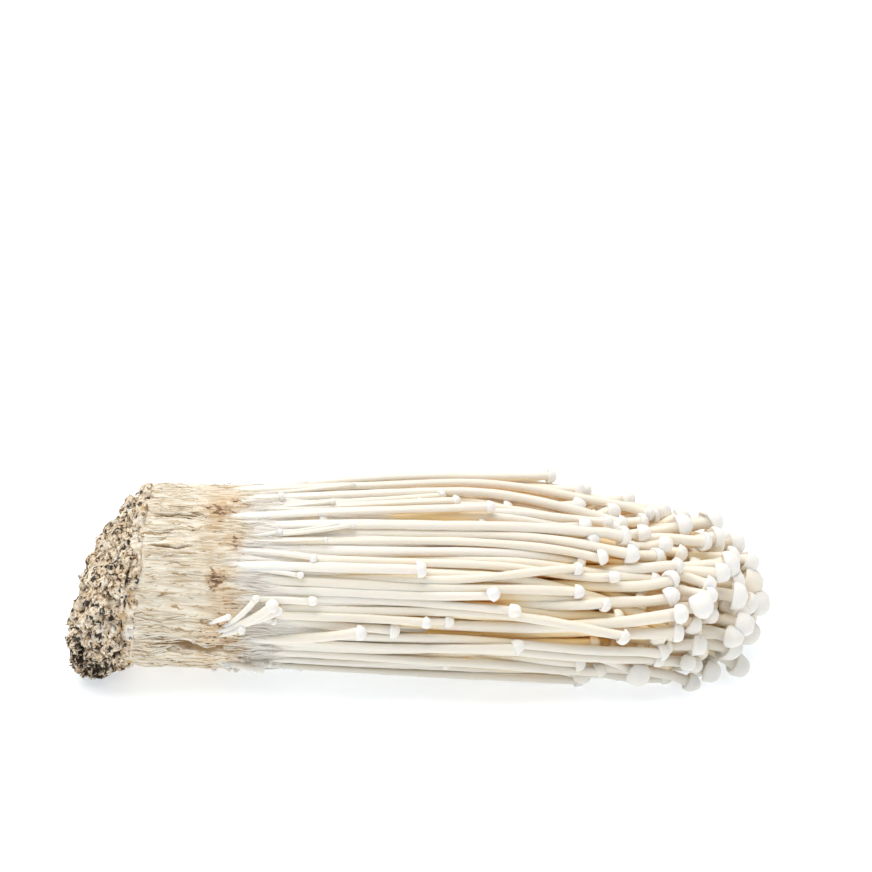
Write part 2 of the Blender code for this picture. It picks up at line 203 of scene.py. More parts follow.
STUBS = (                      # stunted mushrooms: turn and so far out of the root, then of the cap; lift and radius
    (193, 0.0175, 172, 0.0320, 0.0016, 0.00115),
    (194, 0.0178, 168, 0.0285, 0.0012, 0.00070),
    (190, 0.0185, 175, 0.0335, 0.0008, 0.00085),
    (188, 0.0165, 179, 0.0220, 0.0014, 0.00065),
    (197, 0.0190, 187, 0.0250, 0.0010, 0.00070),
    (199, 0.0235, 185, 0.0520, 0.0012, 0.00120),
    (226, 0.0170, 219, 0.0290, 0.0018, 0.00090),
    (318, 0.0190, 330, 0.0340, 0.0020, 0.00105),
)
LIP_ROWS = (                   # across the lip of mould: so far out, height off the mat's oval
    (-0.0010, -0.0090),
    (-0.0019, -0.0045),
    (-0.0022, -0.0002),
    (-0.0012, 0.0010),
    (-0.0002, 0.0017),
    (0.0004, 0.0013),
    (0.0006, 0.0002),
    (0.0004, -0.0012),
)
MOULD_SPOTS = (                # lumps of mould on the plug: off its middle, over the floor, how far back, radius
    (-0.0150, 0.0125, 0.0090, 0.0022),
    (-0.0165, 0.0190, 0.0070, 0.0016),
    (-0.0080, 0.0300, 0.0100, 0.0022),
    (0.0120, 0.0240, 0.0100, 0.0030),
    (0.0060, 0.0060, 0.0200, 0.0024),
)


# Layout: where every mushroom of the bunch runs, and the plug's shape.


def smooth_through(out, knots, values):
    """Reads a smooth curve that passes through the values at the knots."""
    slopes = np.gradient(values, knots)
    low = np.clip(np.searchsorted(knots, out) - 1, 0, len(knots) - 2)
    span = knots[low + 1] - knots[low]
    t = (out - knots[low]) / span
    return (
        (1 + 2 * t) * (1 - t) ** 2 * values[low]
        + t * (1 - t) ** 2 * span * slopes[low]
        + t**2 * (3 - 2 * t) * values[low + 1]
        + t**2 * (t - 1) * span * slopes[low + 1]
    )


def eased(share):
    """0 up to 0, 1 from 1 on, and smooth in between."""
    share = np.clip(share, 0, 1)
    return share * share * (3 - 2 * share)


def oval(out):
    """The half width, half height and middle height of the bunch, so far out."""
    return tuple(
        smooth_through(np.asarray(out, float), OVAL_OUT, sizes)
        for sizes in (OVAL_HALF_WIDTH, OVAL_HALF_HEIGHT, OVAL_MIDDLE)
    )


def placed(out, y, z):
    """The points of the part's frame that lie so far out, with the lean of the plug's face put in."""
    fade = np.clip(1 - np.maximum(0.0, out) / LEAN_OUT, 0, 1)
    lean = LEAN * (z - OVAL_MIDDLE[0]) * fade * fade
    return np.stack(np.broadcast_arrays(PLUG_FACE_X + out + lean, MIDDLE_Y + y, z), axis=-1)


def length_of(draw, spread, angle):
    """How far out a mushroom ends. The outermost are often stunted, and the longest are in the middle."""
    top, front = max(0.0, math.sin(angle)), max(0.0, math.cos(angle - FRONT_TURN))
    full = REACH * (1 - spread**2 * (SHORTER_ROUND + SHORTER_ON_TOP * top + SHORTER_IN_FRONT * front))
    kind = draw.random()
    if spread > STUNTED_SPREAD and kind < STUNTED_CHANCE:
        return full * draw.uniform(*STUNTED_LENGTH)
    if spread > MIDDLING_SPREAD and kind < MIDDLING_CHANCE:
        return full * draw.uniform(*MIDDLING_LENGTH)
    return full * (1 - UNEVEN_ENDS * draw.random() ** 1.2)


def sown(draw, index):
    """One mushroom before the bunch has settled: its place in the cross-section and its sizes."""
    spread = math.sqrt((index + 0.5) / MUSHROOMS)
    angle = index * GOLDEN_ANGLE + draw.uniform(-1, 1) * ANGLE_SCATTER
    length = length_of(draw, spread, angle)
    share = length / REACH
    tip_radius = (TIP_RADIUS_LEAST + TIP_RADIUS_GAIN * share**1.3) * draw.uniform(*TIP_SCATTER)
    cap_gain = CAP_GAIN * float(eased((share - CAP_GAIN_FROM) / (1 - CAP_GAIN_FROM)))
    cap_radius = tip_radius * draw.uniform(*CAP_WIDTH) * (1 + cap_gain)
    if draw.random() < BIG_CAP_SHARE:
        cap_radius *= BIG_CAP
    return SimpleNamespace(
        spread=spread,
        angle=angle,
        length=length,
        root_radius=ROOT_RADIUS * draw.uniform(*ROOT_SCATTER),
        tip_radius=tip_radius,
        cap_radius=cap_radius,
        cap_height=cap_radius * draw.uniform(*CAP_HEIGHT),
        cap_tilt=Vector([draw.gauss(0, CAP_TILT) for _ in range(3)]),
        sway=[(draw.uniform(*SWAY), draw.uniform(*SWAY_LENGTH), draw.uniform(0, math.tau)) for _ in range(2)],
        curl=draw.uniform(*CURL) if draw.random() < CURL_SHARE else 0.0,
        curl_way=angle + draw.choice((-1, 1)) * draw.uniform(*CURL_TURN),
    )


def stem_radius(mushroom, out):
    """The stem's radius so far out: thin at the root, and thickest under the cap."""
    share = np.clip(out / mushroom.length, 0, 1)
    return mushroom.root_radius + (mushroom.tip_radius - mushroom.root_radius) * share**STEM_SWELL


def flow(out, y, z):
    """The wave that the stems about this point share, as (y, z)."""
    at = Vector((out / FLOW_LENGTH, y / FLOW_WIDTH, z / FLOW_WIDTH))
    return tuple(FLOW * noise.noise(at + Vector((0, 0, shift))) for shift in FLOW_SHIFTS)


def tidy_line(mushroom, stations):
    """The (y, z) of a stem at each station, before the stems push each other aside."""
    half_width, half_height, middle = oval(stations)
    sunk = ROOT_DEPTH * eased((SURFACED_OUT - stations) / (SURFACED_OUT - ROOTED_OUT))
    spread = mushroom.spread * (1 - sunk)
    y = half_width * spread * math.cos(mushroom.angle)
    z = middle + half_height * spread * math.sin(mushroom.angle)
    waves = np.array([flow(*at) for at in zip(stations, y, z)])
    for i, (height, length, start) in enumerate(mushroom.sway):
        waves[:, i] += height * np.sin(math.tau * stations / length + start)
    loose = np.clip((stations - ROOTED_OUT) / LOOSE_LENGTH, 0, 1)
    stiff = min(1.0, mushroom.length / STIFF_LENGTH) ** 2
    bend = mushroom.curl * np.clip((stations - mushroom.length) / CURL_LENGTH + 1, 0, 1.2) ** 2
    y += stiff * (loose * waves[:, 0] + bend * math.cos(mushroom.curl_way))
    z += stiff * (loose * waves[:, 1] + bend * math.sin(mushroom.curl_way))
    astray = np.maximum(1, np.hypot(y / half_width, (z - middle) / half_height) / ASTRAY_SHARE)
    return np.stack([y / astray, middle + (z - middle) / astray], axis=1)


def pushed_apart(points, radii):
    """Moves circles in one cross-section off each other, each by half of what they overlap."""
    away = points[:, None] - points[None]
    distance = np.hypot(away[..., 0], away[..., 1])
    overlap = radii[:, None] + radii[None] - distance
    np.fill_diagonal(overlap, 0)
    share = np.where(overlap > 0, 0.5 * overlap / np.maximum(distance, 1e-6), 0)
    return points + PUSH * (away * share[..., None]).sum(axis=1)


def settled(mushrooms, stations):
    """The (y, z) of every stem at every station, side by side, smooth, and on the floor or above."""
    tidy = np.stack([tidy_line(m, stations) for m in mushrooms])
    lengths = np.array([m.length for m in mushrooms])[:, None]
    present = stations[None] < lengths + STATION_STEP
    radii = np.stack([stem_radius(m, stations) for m in mushrooms])
    caps = np.array([m.cap_radius for m in mushrooms])[:, None]
    radii = np.where(np.abs(stations[None] - lengths) < CAP_REACH * STATION_STEP, caps, radii)
    inner = present[:, 1:-1] & present[:, 2:]
    lines = tidy.copy()
    for _ in range(SETTLE_ROUNDS):
        for k in range(2, len(stations)):
            here = present[:, k]
            lines[here, k] = pushed_apart(lines[here, k], radii[here, k])
        bow = lines[:, :-2] + lines[:, 2:] - 2 * lines[:, 1:-1]
        lines[:, 1:-1] += np.where(inner[..., None], SMOOTHING * bow, 0)
        lines += RETURN * (tidy - lines)
        lines[..., 1] = np.maximum(lines[..., 1], radii * FLOOR_SHARE)
    return lines


def grow():
    """All the mushrooms of the bunch, each with the line that its stem follows."""
    draw = random.Random(SEED)
    mushrooms = [sown(draw, index) for index in range(MUSHROOMS)]
    stations = np.arange(0, REACH + 2 * STATION_STEP, STATION_STEP)
    for mushroom, line in zip(mushrooms, settled(mushrooms, stations)):
        mushroom.stations = stations
        mushroom.line = line
    return mushrooms


def stem_points(mushroom, outs):
    y, z = (smooth_through(np.asarray(outs), mushroom.stations, mushroom.line[:, i]) for i in (0, 1))
    return placed(np.asarray(outs), y, z)


def plug_point(way):
    """Where a direction from the middle of the plug meets its lumpy surface.

    The plug is a thick disc with a rounded rim. It is thin along its top, where it tore away, and thick below.
    """
    half_width, half_height, middle = (float(size) for size in oval(0.0))
    flat = math.hypot(way.y, way.z)
    rounded = flat**PLUG_ROUNDING * PLUG_OVERHANG / max(flat, 1e-9)
    y = half_width * rounded * way.y
    z = middle - PLUG_SINK + half_height * rounded * way.z
    low = float(eased(PLUG_THICK_MIDDLE - PLUG_TAPER * (z - middle) / half_height))
    thickness = PLUG_TOP_THICKNESS + (PLUG_THICKNESS - PLUG_TOP_THICKNESS) * low
    depth = 0.5 - 0.5 * math.copysign(abs(way.x) ** PLUG_ROUNDING, way.x)
    point = Vector(placed(PLUG_DENT - (thickness + PLUG_DENT) * depth, y, z))
    for height, fineness, shift in LUMPS:
        point += way * height * noise.noise(point * fineness + Vector((shift, 0, 0)))
    return point


def against_mat(point):
    """Flattens the plug's points where they would enter the mat or the floor."""
    face_x = float(placed(-TOUCH_GAP, 0, point.z)[0])
    return Vector((min(point.x, face_x), point.y, max(point.z, 0.0)))


# Meshes.


class Skin:
    """Points, faces and notes on the points, gathered into one mesh."""

    def __init__(self):
        self.points = []
        self.faces = []
        self.notes = {}
        self.count = 0

    def add(self, points, faces, **notes):
        points = np.asarray(points, float).reshape(-1, 3)
        self.points.append(points)
        self.faces.extend([tuple(self.count + i for i in face) for face in faces])
        for name, value in notes.items():
            self.notes.setdefault(name, []).append(np.broadcast_to(np.asarray(value, float), (len(points),)))
        self.count += len(points)

    def made(self, name, material):
        mesh = bpy.data.meshes.new(name)
        mesh.from_pydata(np.concatenate(self.points).tolist(), [], self.faces)
        for note, parts in self.notes.items():
            mesh.attributes.new(note, "FLOAT", "POINT").data.foreach_set("value", np.concatenate(parts))
        mesh.materials.append(material)
        mesh.shade_smooth()
        obj = bpy.data.objects.new(name, mesh)
        bpy.context.scene.collection.objects.link(obj)
        return obj


def tube_faces(rings, sides, closed=False):
    """Faces over rings of as many points each, closed by a flat face at the root, and by another or a last point."""
    faces = [tuple(reversed(range(sides)))]
    for low in range(0, (rings - 1) * sides, sides):
        for i in range(sides):
            j = (i + 1) % sides
            faces.append((low + i, low + j, low + sides + j, low + sides + i))
    last = (rings - 1) * sides
    if closed:
        faces.append(tuple(range(last, last + sides)))
    else:
        faces.extend((last + i, last + (i + 1) % sides, last + sides) for i in range(sides))
    return faces


def unit(vectors):
    return vectors / np.linalg.norm(vectors, axis=-1, keepdims=True)


def across(along):
    """Two directions square to each given one, the first of them level."""
    side = unit(np.cross((0.0, 0.0, 1.0), along))
    return side, np.cross(along, side)


def outwards(points):
    """The direction out of the bunch at each point, square to +X."""
    half_width, half_height, middle = oval(np.clip(points[..., 0] - PLUG_FACE_X, 0, REACH))
    y = (points[..., 1] - MIDDLE_Y) / half_width**2
    z = (points[..., 2] - middle) / half_height**2
    return unit(np.stack([np.zeros_like(y), y + 1e-6, z], axis=-1))


# Painted shade: the cover found here sets how warm and dark the stems are painted in the gaps.
def cover_over(lines):
    """How far each point of the stems' lines is covered by other stems, from 0 in the open to 1 well inside."""
    everything = np.concatenate(lines)
    owners = np.repeat(np.arange(len(lines)), [len(line) for line in lines])
    tree = KDTree(len(everything))
    for index, point in enumerate(everything):
        tree.insert(point, index)
    tree.balance()
    away = outwards(everything)
    covers = np.zeros(len(everything))
    for index, point in enumerate(everything):
        near = [found for _, found, _ in tree.find_range(point, COVER_REACH) if owners[found] != owners[index]]
        if near:
            steps = everything[near] - point
            reach = np.maximum(np.linalg.norm(steps, axis=1), 0.0005)
            over = np.clip(steps @ away[index] / reach - COVER_CONE, 0, 1)
            covers[index] = over.sum() / COVER_FULL
    return np.split(np.clip(covers, 0, 1), np.cumsum([len(line) for line in lines])[:-1])


def round_rim(turn):
    """Where a turn lies on a plain circle, for noise that closes on itself."""
    return Vector((math.cos(turn), math.sin(turn), 0)) * RIM


def on_mat(turn, out, share=1.0):
    """The point on the bunch's oval at this turn, so far out."""
    half_width, half_height, middle = oval(out)
    return placed(out, half_width * share * np.cos(turn), middle + half_height * share * np.sin(turn))


def rings_round(line, reach, turns):
    """Rings of points round a line, one at each of its points, each point at its own reach."""
    side, lift = across(unit(np.gradient(line, axis=0)))
    cosine, sine = np.cos(turns)[None, :, None], np.sin(turns)[None, :, None]
    return line[:, None] + reach[..., None] * (cosine * side[:, None] + sine * lift[:, None])


def add_mushroom(skin, own, line, outs, radii, pressed, cover, cap_radius, cap_height, cap_tilt, sides):
    """A stem along a line, with its cap. Where it is pressed, it lies flat against the bunch like a ribbon."""
    along = unit(np.gradient(line, axis=0))
    side, lift = across(along)
    turns = math.tau * np.arange(sides) / sides + own.uniform(0, 1)
    radii = radii * (1 + 0.04 * np.sin(math.tau * outs / own.uniform(0.009, 0.020) + own.uniform(0, math.tau)))
    away = outwards(line)
    flat_turn = np.arctan2((away * lift).sum(axis=1), (away * side).sum(axis=1))[:, None]
    flat = (own.uniform(-0.02, 0.08) + 0.26 * pressed)[:, None]
    shape = 1 - flat * np.cos(2 * (turns[None] - flat_turn))
    stem = rings_round(line, radii[:, None] * shape, turns)
    cosine, sine = np.cos(turns)[None, :, None], np.sin(turns)[None, :, None]

    up = unit(along[-1] + np.array(cap_tilt))
    cap_side, cap_lift = across(up)
    profile = np.array(CAP_PROFILE)
    dimple = own.choice((0, 0, 0, 0.12, 0.22))
    widths = profile[:, 0] ** own.uniform(0.80, 1.15)
    heights = profile[:, 1] - dimple * np.clip(0.55 - profile[:, 0], 0, 1)
    wander = Vector((own.uniform(0, 50), own.uniform(0, 50), 0))
    lumps = np.array([
        [noise.noise(wander + Vector((math.cos(turn) * 1.1, math.sin(turn) * 1.1, height * 1.4))) for turn in turns]
        for height in heights
    ])
    reach = cap_radius * widths[:, None] * (1 + 0.16 * lumps)
    cap = (
        line[-1]
        + (heights * cap_height)[:, None, None] * up
        + reach[..., None] * (cosine * cap_side + sine * cap_lift)
    )
    crown = line[-1] + up * cap_height * (1.0 - 0.5 * dimple)

    points = np.concatenate([stem.reshape(-1, 3), cap.reshape(-1, 3), crown[None]])
    points[:, 2] = np.maximum(points[:, 2], OFF_FLOOR)
    rings = len(stem) + len(cap)
    run = np.concatenate([np.repeat(outs, sides), np.full(len(cap) * sides + 1, outs[-1])])
    centres = np.concatenate([np.repeat(line, sides, axis=0), np.repeat(line[-1:], len(cap) * sides + 1, axis=0)])
    # How far each point faces into the bunch, which deepens the painted shade there.
    inner = -(unit(points - centres + 1e-9) * outwards(points)).sum(axis=1)
    covers = np.concatenate([np.repeat(cover, sides), np.full(len(cap) * sides + 1, cover[-1])])
    is_cap = np.concatenate([np.zeros(len(stem) * sides), np.ones(len(cap) * sides + 1)])
    skin.add(
        points,
        tube_faces(rings, sides),
        along=run / REACH,
        cap=is_cap,
        tone=own.random(),
        # Painted shade mask: how far other stems cover the point.
        depth=np.clip(covers * (1 + 0.35 * inner), 0, 1),
        grain=np.concatenate([np.tile(turns, rings), turns[:1]]),
    )


# Shader maths.


class Value:
    """A value on its way through a material's nodes. Arithmetic on it adds Math nodes."""

    def __init__(self, recipe, socket):
        self.recipe = recipe
        self.socket = socket

    def _math(self, operation, *values):
        return self.recipe.node("ShaderNodeMath", {"operation": operation}, dict(enumerate(values)))

    def __add__(self, other):
        return self._math("ADD", self, other)

    def __sub__(self, other):
        return self._math("SUBTRACT", self, other)

    def __rsub__(self, other):
        return self._math("SUBTRACT", other, self)

    def __mul__(self, other):
        return self._math("MULTIPLY", self, other)

    __radd__ = __add__
    __rmul__ = __mul__

    def between(self, low, high):
        """0 where the value is at low or beyond, 1 at high or beyond, and smooth in between."""
        return self.recipe.node(
            "ShaderNodeMapRange",
            {"interpolation_type": "SMOOTHSTEP"},
            {"Value": self, "From Min": low, "From Max": high},
        )


class Recipe:
    """A material under construction, with one Principled shader. One that is there already starts afresh."""

    def __init__(self, name, viewport_colour):
        self.material = bpy.data.materials.get(name) or bpy.data.materials.new(name)
        self.material.use_nodes = True
        self.material.diffuse_color = (*viewport_colour, 1)
        self.nodes = self.material.node_tree.nodes
        self.links = self.material.node_tree.links
        for node in list(self.nodes):
            if node.type not in ("BSDF_PRINCIPLED", "OUTPUT_MATERIAL"):
                self.nodes.remove(node)
        self.shader = self.nodes["Principled BSDF"]

    def node(self, kind, settings=None, sockets=None, output=0):
        """Adds a node: its settings first, then the values or links of its sockets. Returns one of its outputs."""
        node = self.nodes.new(kind)
        for name, setting in (settings or {}).items():
            if name == "stops":
                self.set_stops(node.color_ramp, setting)
            else:
                setattr(node, name, setting)
        for name, value in (sockets or {}).items():
            self.fill(node.inputs[name], value)
        return Value(self, node.outputs[output])

    def set_stops(self, ramp, stops):
        while len(ramp.elements) < len(stops):
            ramp.elements.new(1.0)
        for element, (position, colour) in zip(ramp.elements, stops):
            element.position = position
            element.color = (*colour, 1)

    def fill(self, socket, value):
        if isinstance(value, Value):
            self.links.new(value.socket, socket)
        elif socket.type == "RGBA":
            socket.default_value = (*value, 1)
        else:
            socket.default_value = value

    def note(self, name):
        """A note that the mesh carries on its points."""
        return self.node("ShaderNodeAttribute", {"attribute_name": name}, output="Fac")

    def place(self):
        return self.node("ShaderNodeTexCoord", output="Object")

    def height(self):
        """Height over the surface that the bunch lies on."""
        return self.node("ShaderNodeSeparateXYZ", {}, {0: self.place()}, output=2)

    def combined(self, x, y, z):
        return self.node("ShaderNodeCombineXYZ", {}, {0: x, 1: y, 2: z})

    def scaled(self, at, scales):
        return self.node("ShaderNodeVectorMath", {"operation": "MULTIPLY"}, {0: at, 1: scales})

    def shaken(self, at, wander, swings):
        """A place moved by a wandering colour, so far along each axis."""
        return self.node("ShaderNodeVectorMath", {"operation": "MULTIPLY_ADD"}, {0: wander, 1: swings, 2: at})

    def noise(self, at, scale, detail=3.0, roughness=0.55):
        sockets = {"Vector": at, "Scale": scale, "Detail": detail, "Roughness": roughness}
        return self.node("ShaderNodeTexNoise", {}, sockets)

    def mixed(self, share, first, second):
        """One colour turning into another as share goes from 0 to 1."""
        return self.node("ShaderNodeMix", {"data_type": "RGBA"}, {0: share, 6: first, 7: second}, output=2)

    def bump(self, height, strength, distance):
        return self.node("ShaderNodeBump", {}, {"Height": height, "Strength": strength, "Distance": distance})

    def finish(self, **sockets):
        for name, value in sockets.items():
            self.fill(self.shader.inputs[name.replace("_", " ")], value)
        return self.material


def mushroom_flesh(look):
    """Moist white flesh that lets light through: cream at the roots, whitest on the caps, with warm painted shade in
    the gaps deep in the bunch and grey painted shade towards the floor.
    """
    recipe = Recipe("mushroom_flesh", look.stem_colour)
    along, cap, tone, depth, turn = (recipe.note(name) for name in ("along", "cap", "tone", "depth", "grain"))
    fibres = recipe.noise(recipe.combined(turn * 2.2, along * 6.0, tone * 40.0), 1.0, detail=3.0)
    blotches = recipe.noise(recipe.place(), 160, detail=3.0)
    stem = recipe.mixed(along.between(0.10, 0.42), look.root_colour, look.stem_colour)
    stem = recipe.mixed(tone * 0.45 + fibres.between(0.4, 0.8) * 0.30, stem, look.ivory_colour)
    stem = recipe.mixed(along.between(0.50, 0.90) * 0.30, stem, look.ivory_colour)
    body = recipe.mixed(cap, stem, look.cap_colour)
    body = recipe.mixed(blotches.between(0.58, 0.80) * 0.30, body, look.ivory_colour)
    # Painted shade: the stems turn greyer towards the floor, where less light reaches them.
    body = recipe.mixed(recipe.height().between(0.028, 0.004) * 0.55, body, look.underside_shade_colour)
    # Painted shade in the gaps between stems: warm, turning amber where other stems cover a point most, and weaker on
    # the caps.
    body = recipe.mixed(depth.between(0.02, 0.50) * (0.90 - cap * 0.50), body, look.gap_shade_colour)
    body = recipe.mixed(depth.between(0.40, 0.95) * (0.85 - cap * 0.40), body, look.deep_gap_shade_colour)
    puckers = recipe.noise(recipe.place(), 520, detail=3.0)
    relief = fibres * (1 - cap) + blotches * 0.5 + puckers * cap * 0.6
    return recipe.finish(
        Base_Color=body,
        Roughness=0.40 + fibres * 0.16 + cap * 0.10,
        Subsurface_Weight=0.50,
        Subsurface_Radius=(1.0, 0.80, 0.55),
        Subsurface_Scale=0.0009,
        Specular_IOR_Level=0.35,
        Normal=recipe.bump(relief, 0.35, 0.00025),
    )


def mat_flesh(look):
    """The fused bases: cream fibres, combed lengthwise, stained brown in places, with tan-to-brown painted shade in
    their creases and clefts and grey painted shade low among the loose strands.
    """
    recipe = Recipe("fused_stem_bases", look.mat_colour)
    out, groove, stain, tone, loose = (recipe.note(name) for name in ("out", "groove", "stain", "tone", "loose"))
    place = recipe.place()
    wander = recipe.node("ShaderNodeTexNoise", {}, {"Vector": place, "Scale": 150, "Detail": 3.0}, output="Color")
    waved = recipe.shaken(place, wander, (0.0, 0.0045, 0.0045))
    combed = recipe.scaled(waved, (0.11, 1.0, 1.0))
    threads = recipe.noise(combed, 1900, detail=4.0, roughness=0.62)
    streaks = recipe.noise(combed, 650, detail=3.0)
    patches = recipe.noise(place, 190, detail=5.0, roughness=0.62)
    specks = recipe.noise(place, 900, detail=2.0)
    mat = recipe.mixed(threads.between(0.42, 0.70) * 0.8, look.mat_colour, look.pale_colour)
    mat = recipe.mixed(tone.between(0.50, 1.0) * 0.75, mat, look.pale_colour)
    mat = recipe.mixed(tone.between(0.42, 0.0) * 0.45, mat, look.tan_colour)
    mat = recipe.mixed(streaks.between(0.52, 0.72) * 0.25, mat, look.tan_colour)
    band = out.between(0.012, 0.019) * out.between(0.028, 0.022) * patches.between(0.38, 0.58)
    mat = recipe.mixed(patches.between(0.50, 0.74) * 0.35, mat, look.blush_colour)
    mat = recipe.mixed(band * 0.65, mat, look.blush_colour)
    lines = recipe.noise(recipe.scaled(waved, (0.16, 1.0, 1.0)), 1250, detail=2.0)
    # Painted shade: thin dark crease lines, laid by noise.
    mat = recipe.mixed(lines.between(0.43, 0.33) * 0.85, mat, look.crease_shade_colour)
    sheet = recipe.mixed(streaks.between(0.40, 0.70) * 0.6, look.stem_colour, look.root_colour)
    sheet = recipe.mixed(out.between(0.045, 0.085) * 0.6, sheet, look.ivory_colour)
    colour = recipe.mixed(loose, mat, sheet)
    # Painted shade in the clefts and between the strands: dark brown on the mat, stem colour among the loose strands.
    valley = recipe.mixed(loose, look.crease_shade_colour, look.stem_colour)
    colour = recipe.mixed(groove.between(0.35, 1.0) * 0.85, colour, valley)
    blot = stain + (patches - 0.5) * 0.9 + (specks - 0.5) * 0.8
    stained = (stain * 3.0).between(0.0, 1.0)
    colour = recipe.mixed(stained * blot.between(0.05, 0.75) * 0.65, colour, look.rust_colour)
    spots = recipe.noise(recipe.scaled(place, (0.6, 1.0, 1.0)), 1250, detail=2.0)
    spotted = stained * (spots + stain * 0.22 + (patches - 0.5) * 0.4).between(0.66, 0.74)
    colour = recipe.mixed(spotted * 0.9, colour, look.stain_colour)
    # Painted shade: the loose strands turn greyer towards the floor.
    colour = recipe.mixed(recipe.height().between(0.026, 0.004) * loose * 0.45, colour, look.underside_shade_colour)
    return recipe.finish(
        Base_Color=colour,
        Roughness=0.52 + threads * 0.2,
        Specular_IOR_Level=0.30,
        Normal=recipe.bump(threads + streaks * 0.8 + blot * 0.3, 0.65, 0.0005),
    )


def plug_matter(look):
    """Damp sawdust and bran: tan with dark pits, crumbly and dark at its foot, bound by white and ochre mould. Its
    cracks and rents carry painted shade, and its dark pits are partly dark crumbs, partly painted shade.
    """
    recipe = Recipe("sawdust_plug", look.crumb_colour)
    crumb, groove, mould, loose = (recipe.note(note) for note in ("crumb", "groove", "mould", "loose"))
    place = recipe.place()
    fine = recipe.noise(place, 1500, detail=4.0, roughness=0.7)
    pits = recipe.noise(recipe.scaled(place, (1.0, 1.0, 0.7)), 600, detail=4.0, roughness=0.66)
    patches = recipe.noise(place, 240, detail=4.0, roughness=0.6)
    streaks = recipe.noise(recipe.scaled(place, (1.0, 1.0, 0.35)), 330, detail=3.0)
    wander = recipe.node("ShaderNodeTexNoise", {}, {"Vector": place, "Scale": 1100, "Detail": 2.0}, output="Color")
    shaken = recipe.shaken(place, wander, (0.0009,) * 3)
    grain = recipe.node("ShaderNodeTexVoronoi", {}, {"Vector": shaken, "Scale": 1400}, output="Color")
    stops = (
        (0.00, look.dark_crumb_and_crack_shade_colour),
        (0.14, look.bark_colour),
        (0.34, look.crumb_colour),
        (0.62, look.straw_colour),
        (1.00, look.husk_colour),
    )
    ashen = recipe.noise(place, 430, detail=3.0)
    shade = 0.60 + (fine - 0.5) * 1.6 + (grain - 0.5) * 0.70 + (patches - 0.5) * 0.9
    shade = shade + (crumb - 0.5) * 0.25 - loose * 0.18
    ramp = recipe.node("ShaderNodeValToRGB", {"stops": stops}, {0: shade})
    # Dark pits: partly dark crumbs, partly painted shade in the hollows that the bump sinks there.
    pitted = (pits + loose * 0.08 + (patches - 0.5) * 0.25).between(0.548, 0.592)
    colour = recipe.mixed(ashen.between(0.50, 0.66) * 0.55, ramp, look.ash_colour)
    colour = recipe.mixed(pitted * 0.95, colour, look.dark_crumb_and_crack_shade_colour)
    # Painted shade in the cracks and rents.
    colour = recipe.mixed(groove.between(0.45, 1.0) * 0.9, colour, look.dark_crumb_and_crack_shade_colour)
    rusty = (mould * 0.26 + streaks + (fine - 0.5) * 0.35 + (patches - 0.5) * 0.3 - 0.73).between(0.0, 0.08) * 0.8
    colour = recipe.mixed(rusty * (1 - groove * 0.6), colour, look.ochre_colour)
    mouldy = (mould * 0.55 + patches * 0.9 + (fine - 0.5) * 0.8 - 0.82).between(0.0, 0.18)
    colour = recipe.mixed(mouldy * (1 - groove * 0.7) * (1 - pitted * 0.7) * 0.92, colour, look.mould_colour)
    return recipe.finish(
        Base_Color=colour,
        Roughness=0.88,
        Specular_IOR_Level=0.20,
        Normal=recipe.bump(fine + grain * 0.5 - pitted, 0.7, 0.0004),
    )


# What a user may change.


def colour_property(name, description, default):
    return bpy.props.FloatVectorProperty(
        name=name, description=description, default=default, subtype="COLOR", size=3, min=0, max=1
    )


def length_property(name, description, default):
    return bpy.props.FloatProperty(name=name, description=description, default=default, unit="LENGTH")


def angle_property(name, description, degrees):
    return bpy.props.FloatProperty(
        name=name, description=description, default=math.radians(degrees), subtype="ANGLE"
    )


def count_property(name, description, default):
    return bpy.props.IntProperty(name=name, description=description, default=default, min=0)


